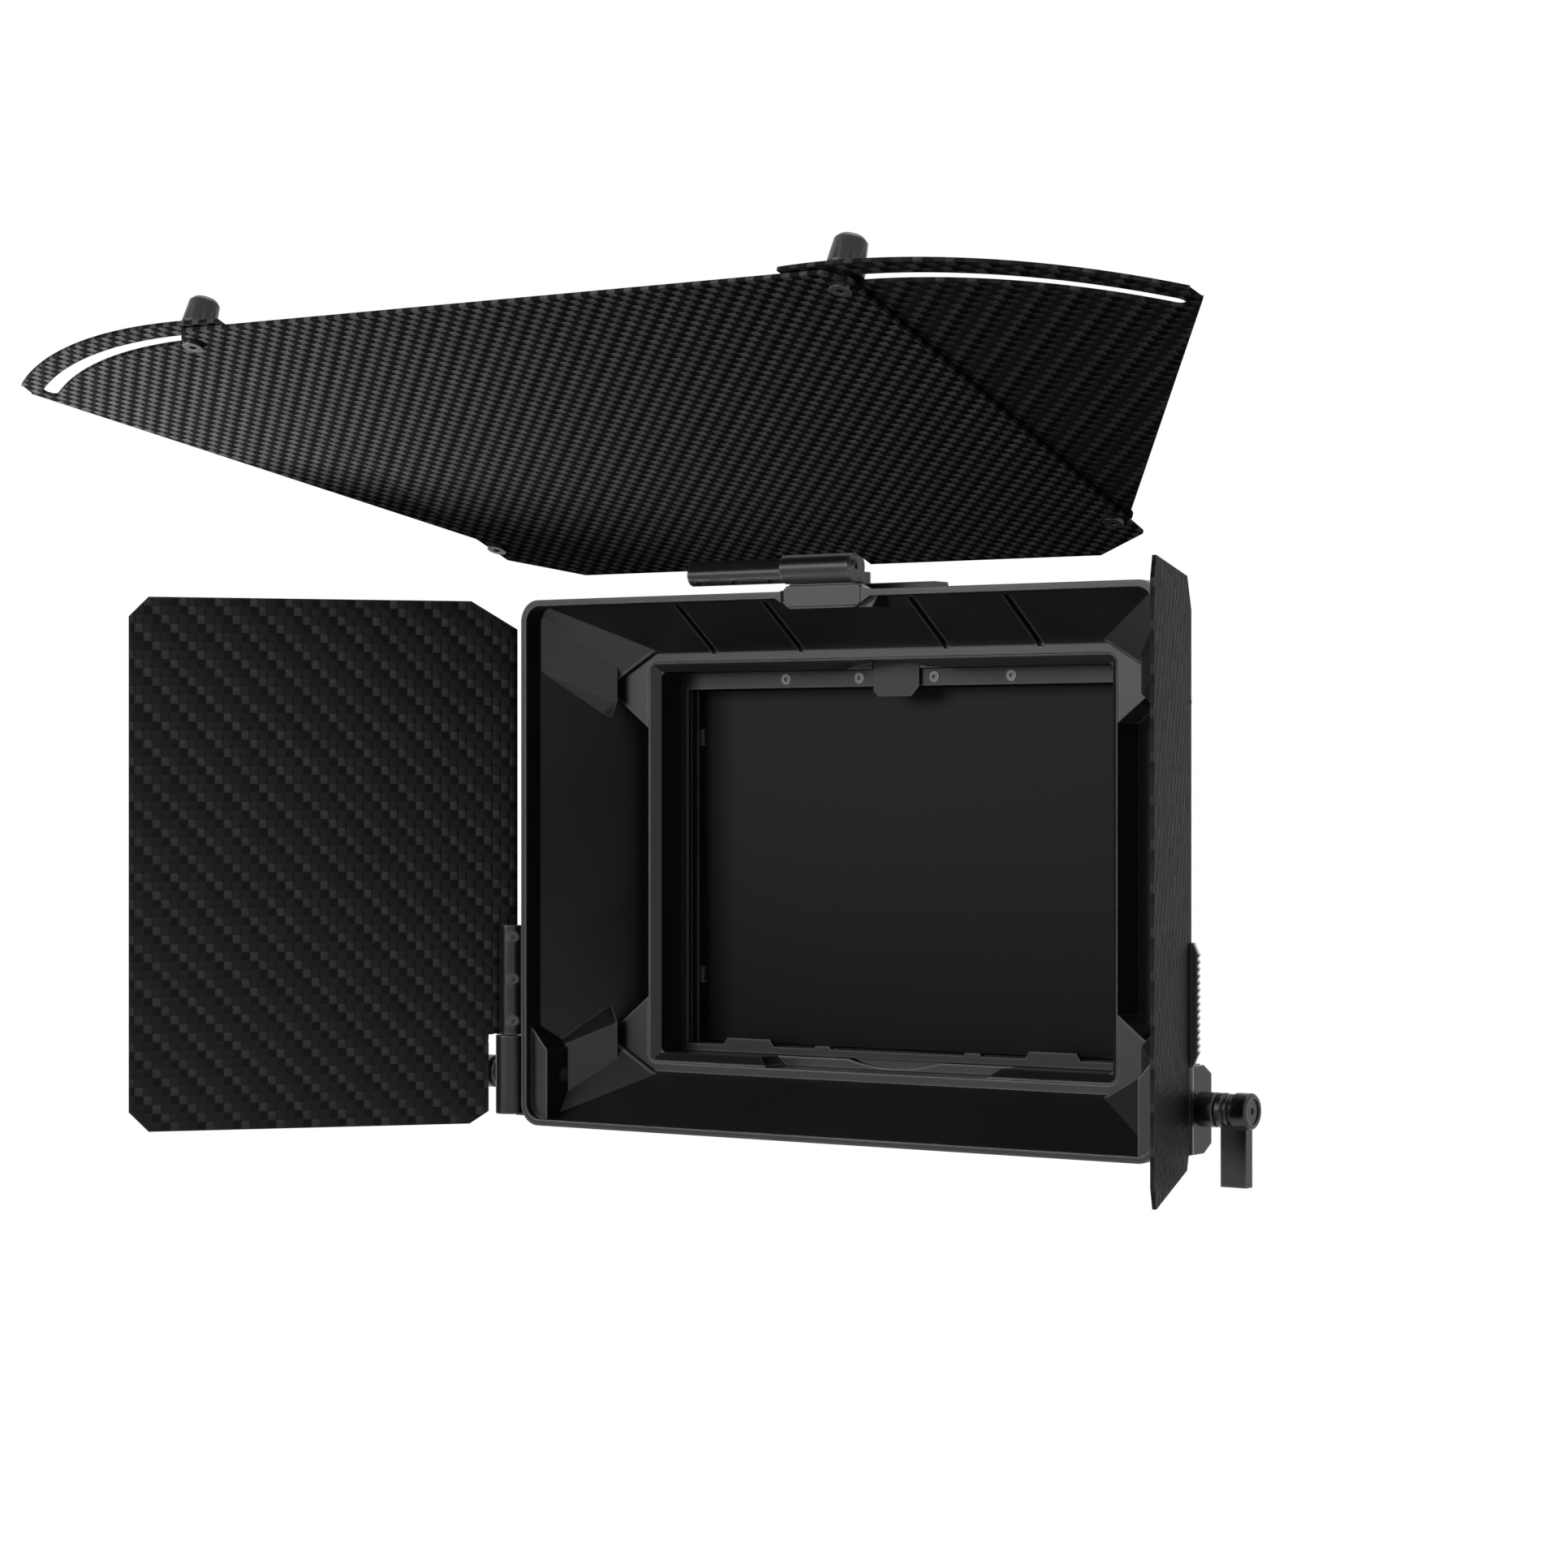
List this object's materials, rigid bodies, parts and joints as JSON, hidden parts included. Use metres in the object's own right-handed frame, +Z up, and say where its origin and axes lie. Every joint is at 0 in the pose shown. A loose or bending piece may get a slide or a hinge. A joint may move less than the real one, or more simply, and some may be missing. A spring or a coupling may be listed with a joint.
{
  "type": "matte box",
  "caption": "Lens shade with a tapered hood, a tilting top flag with swing-out wings, two hinged side flags, drop-in filter trays and a ring that clamps round a lens.",
  "frame": {"origin": "on the lens axis at the rear face of the clamp ring", "axes": "+X right as seen from in front of the hood, +Y rearward towards the camera, +Z up"},
  "size_m": [0.3628, 0.224, 0.2285],
  "materials": {
    "carbon_plate": "satin woven carbon",
    "black_shell": "fine satin black",
    "black_metal": "black anodised",
    "dark_steel": "blackened",
    "front_filter_glass": "dark neutral",
    "rear_filter_glass": "clear"
  },
  "bodies": {
    "box": {"hood_shell": "black_shell", "emblem_plate": "black_shell", "throat_frame": "black_shell", "retainer_frame": "black_shell", "retainer_screws": "dark_steel", "filter_stage": "black_metal", "stage_screws": "dark_steel", "rear_plate": "black_metal", "rear_plate_screws": "dark_steel", "top_pad": "black_shell", "bracket_top": "black_metal", "bracket_left": "black_metal", "bracket_right": "black_metal", "hinge_pin_top": "dark_steel", "hinge_pin_left": "dark_steel", "hinge_pin_right": "dark_steel"},
    "left_flag": {"side_flag_left": "carbon_plate", "knuckle_left": "black_metal", "clamp_strip_left": "black_metal", "knuckle_screws_left": "dark_steel"},
    "right_flag": {"side_flag_right": "carbon_plate", "knuckle_right": "black_metal", "clamp_strip_right": "black_metal", "knuckle_screws_right": "dark_steel"},
    "top_flag": {"top_flag_panel": "carbon_plate", "knuckle_top": "black_metal", "clamp_strip_top": "black_metal", "knuckle_screws_top": "dark_steel", "wing_washers": "dark_steel", "wing_pivot_screws": "dark_steel", "wing_pivot_nuts": "dark_steel", "wing_studs": "dark_steel"},
    "left_wing": {"top_wing_left": "carbon_plate"},
    "right_wing": {"top_wing_right": "carbon_plate"},
    "left_knob": {"thumb_knob_left": "black_shell"},
    "right_knob": {"thumb_knob_right": "black_shell"},
    "top_lever": {"lever_hub_top": "black_metal", "lever_top": "black_metal", "lever_screw_top": "dark_steel"},
    "left_lever": {"lever_hub_left": "black_metal", "lever_left": "black_metal", "lever_screw_left": "dark_steel"},
    "right_lever": {"lever_hub_right": "black_metal", "lever_right": "black_metal", "lever_screw_right": "dark_steel"},
    "catch_tab": {"filter_tab": "black_shell"},
    "front_holder": {"front_tray": "black_shell", "front_filter": "front_filter_glass"},
    "rear_holder": {"rear_tray": "black_shell", "rear_filter": "rear_filter_glass"},
    "clamp_turn": {"clamp_screw": "dark_steel", "clamp_knob": "black_shell"}
  },
  "joints": [
    {"name": "left_flag_hinge", "type": "hinge", "parent": "box", "child": "left_flag", "pos_m": [-0.109, -0.0768, -0.034], "axis": [0, 0, -1], "range_deg": [-128.2, 46]},
    {"name": "right_flag_hinge", "type": "hinge", "parent": "box", "child": "right_flag", "pos_m": [0.109, -0.0768, -0.034], "axis": [0, 0, 1], "range_deg": [-114.6, 60]},
    {"name": "top_flag_hinge", "type": "hinge", "parent": "box", "child": "top_flag", "pos_m": [-0.031, -0.0768, 0.0812], "axis": [-1, 0, 0], "range_deg": [-20, 60]},
    {"name": "left_wing_pivot", "type": "hinge", "parent": "top_flag", "child": "left_wing", "pos_m": [-0.1002, -0.09282, 0.09146], "axis": [0, 0.3502, 0.9367], "range_deg": [0, 34.5]},
    {"name": "right_wing_pivot", "type": "hinge", "parent": "top_flag", "child": "right_wing", "pos_m": [0.1002, -0.09282, 0.09146], "axis": [0, -0.3502, -0.9367], "range_deg": [0, 34.5]},
    {"name": "left_knob_turn", "type": "hinge", "parent": "top_flag", "child": "left_knob", "pos_m": [-0.1002, -0.21599, 0.13751], "axis": [0, 0.3502, 0.9367], "range_deg": [-180, 180]},
    {"name": "right_knob_turn", "type": "hinge", "parent": "top_flag", "child": "right_knob", "pos_m": [0.1002, -0.21599, 0.13751], "axis": [0, 0.3502, 0.9367], "range_deg": [-180, 180]},
    {"name": "top_lever_turn", "type": "hinge", "parent": "box", "child": "top_lever", "pos_m": [-0.0006, -0.0676, 0.084], "axis": [0, 0, 1], "range_deg": [0, 90]},
    {"name": "left_lever_turn", "type": "hinge", "parent": "box", "child": "left_lever", "pos_m": [-0.112, -0.0676, -0.061], "axis": [1, 0, 0], "range_deg": [-90, 0]},
    {"name": "right_lever_turn", "type": "hinge", "parent": "box", "child": "right_lever", "pos_m": [0.112, -0.0676, -0.061], "axis": [1, 0, 0], "range_deg": [0, 90]},
    {"name": "catch_tab_slide", "type": "slide", "parent": "box", "child": "catch_tab", "axis": [0, 0, 1], "range_m": [0, 0.0025], "stiffness_N_per_m": 200, "springref_m": -0.004},
    {"name": "front_tray_slide", "type": "slide", "parent": "box", "child": "front_holder", "axis": [0, 0, 1], "range_m": [0, 0.13]},
    {"name": "rear_tray_slide", "type": "slide", "parent": "box", "child": "rear_holder", "axis": [0, 0, 1], "range_m": [0, 0.13]},
    {"name": "lens_clamp_turn", "type": "hinge", "parent": "box", "child": "clamp_turn", "pos_m": [0, -0.006, 0.0686], "axis": [1, 0, 0], "range_deg": [-180, 180]}
  ]
}
